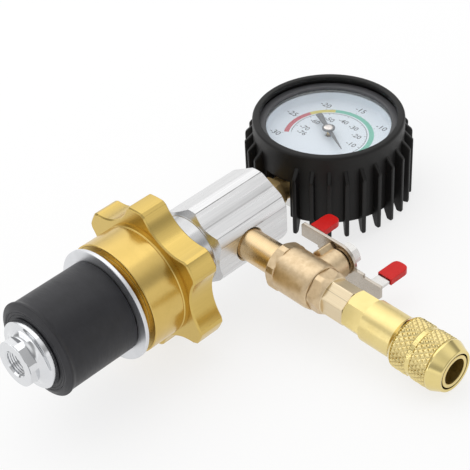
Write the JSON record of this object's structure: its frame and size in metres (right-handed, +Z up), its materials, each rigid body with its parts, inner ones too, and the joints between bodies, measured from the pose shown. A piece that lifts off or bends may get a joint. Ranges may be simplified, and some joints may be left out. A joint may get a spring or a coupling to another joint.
{
  "type": "coolant vacuum filler",
  "caption": "Hand tool that seals a radiator neck with an expanding rubber bung and draws a vacuum through a ball valve and coupler, read on a booted gauge.",
  "frame": {"origin": "centre of the bounding box at the ground plane that the tool lies on", "axes": "+X from the gauge towards the rubber bung, +Y towards the quick coupler, +Z up from the ground; the dial faces up"},
  "size_m": [0.2298, 0.1752, 0.0728],
  "materials": {
    "block_aluminium": "brushed bare aluminium bar",
    "washer_aluminium": "polished",
    "knob_anodised": "gold anodised, satin turned",
    "bung_rubber": "matt grey moulded rubber",
    "boot_rubber": "matt black moulded rubber",
    "seal_rubber": "plain seals",
    "valve_polymer": "white seats and packing",
    "ring_paint": "dark satin paint",
    "lens_clear": "clear window",
    "dial_face": "pale printed dial",
    "needle_paint": "grey satin paint",
    "steel_plated": "bright zinc and nickel plate",
    "spring_steel": "plain spring steel",
    "brass_cast": "satin cast brass",
    "brass_polished": "polished brass",
    "brass_yellow": "bright yellow brass",
    "brass_plain": "turned brass",
    "grip_vinyl": "red dipped vinyl"
  },
  "bodies": {
    "root": {"ball_seat_inlet": "valve_polymer", "ball_seat_outlet": "valve_polymer", "bezel_ring": "ring_paint", "bourdon_tube": "brass_plain", "coupler_body": "brass_yellow", "coupler_seal": "seal_rubber", "coupler_tube": "brass_yellow", "dial_plate": "dial_face", "end_nut": "block_aluminium", "gauge_boot": "boot_rubber", "gauge_case": "steel_plated", "gauge_lens": "lens_clear", "gauge_seal": "seal_rubber", "gauge_socket": "brass_plain", "inlet_nipple": "brass_polished", "link_bar": "brass_plain", "lock_ball_1": "spring_steel", "lock_ball_2": "spring_steel", "lock_ball_3": "spring_steel", "lock_ball_4": "spring_steel", "lock_ball_5": "spring_steel", "lock_ball_6": "spring_steel", "main_stem": "block_aluminium", "manifold_block": "block_aluminium", "movement_back_plate": "brass_plain", "movement_front_plate": "brass_plain", "movement_post_1": "brass_plain", "movement_post_2": "brass_plain", "movement_post_3": "brass_plain", "poppet_spring": "spring_steel", "rubber_plug": "bung_rubber", "sleeve_clip": "spring_steel", "sleeve_spring": "spring_steel", "stem_packing": "valve_polymer", "stem_seal": "seal_rubber", "tube_tip": "brass_plain", "valve_body": "brass_cast", "valve_end_cap": "brass_cast"},
    "carriage": {"compression_washer": "washer_aluminium"},
    "knob": {"star_knob": "knob_anodised"},
    "needle": {"needle": "needle_paint", "needle_hub": "steel_plated", "pinion": "brass_plain"},
    "sector": {"sector_gear": "brass_plain"},
    "valve": {"valve_ball": "steel_plated", "valve_stem": "brass_plain", "handle_plate": "steel_plated", "handle_nut": "steel_plated", "grip_left": "grip_vinyl", "grip_right": "grip_vinyl"},
    "sleeve": {"coupler_sleeve": "brass_yellow"},
    "poppet": {"poppet": "brass_plain"}
  },
  "joints": [
    {"name": "compression", "type": "slide", "parent": "root", "child": "carriage", "axis": [0.9949, 0.0085, 0.1005], "range_m": [0, 0.00702], "deforming": ["rubber_plug"]},
    {"name": "knob_turn", "type": "hinge", "parent": "carriage", "child": "knob", "pos_m": [0.03016, -0.0448, 0.03574], "axis": [0.9949, 0.0085, 0.1005], "range_deg": [0, 1260]},
    {"name": "needle_turn", "type": "hinge", "parent": "root", "child": "needle", "pos_m": [-0.07609, -0.04304, 0.04066], "axis": [-0.1005, 0.1683, 0.9806], "range_deg": [-16.5, 251]},
    {"name": "sector_turn", "type": "hinge", "parent": "root", "child": "sector", "pos_m": [-0.06057, -0.04425, 0.0344], "axis": [-0.1005, 0.1683, 0.9806], "range_deg": [-37.8, 2.7]},
    {"name": "valve_turn", "type": "hinge", "parent": "root", "child": "valve", "pos_m": [-0.0198, 0.00889, 0.0214], "axis": [0.994, -0.0259, 0.1063], "range_deg": [0, 90]},
    {"name": "sleeve_slide", "type": "slide", "parent": "root", "child": "sleeve", "axis": [-0.0433, -0.9854, 0.1646], "range_m": [0, 0.006], "stiffness_N_per_m": 600, "springref_m": -0.004, "deforming": ["sleeve_spring"]},
    {"name": "poppet_slide", "type": "slide", "parent": "root", "child": "poppet", "axis": [-0.0433, -0.9854, 0.1646], "range_m": [0, 0.004], "stiffness_N_per_m": 300, "springref_m": -0.003, "deforming": ["poppet_spring"]}
  ],
  "couplings": [
    {"joint": "compression", "follows": "knob_turn", "m_per_rad": 0.00031831},
    {"joint": "sector_turn", "follows": "needle_turn", "ratio": -0.15}
  ]
}
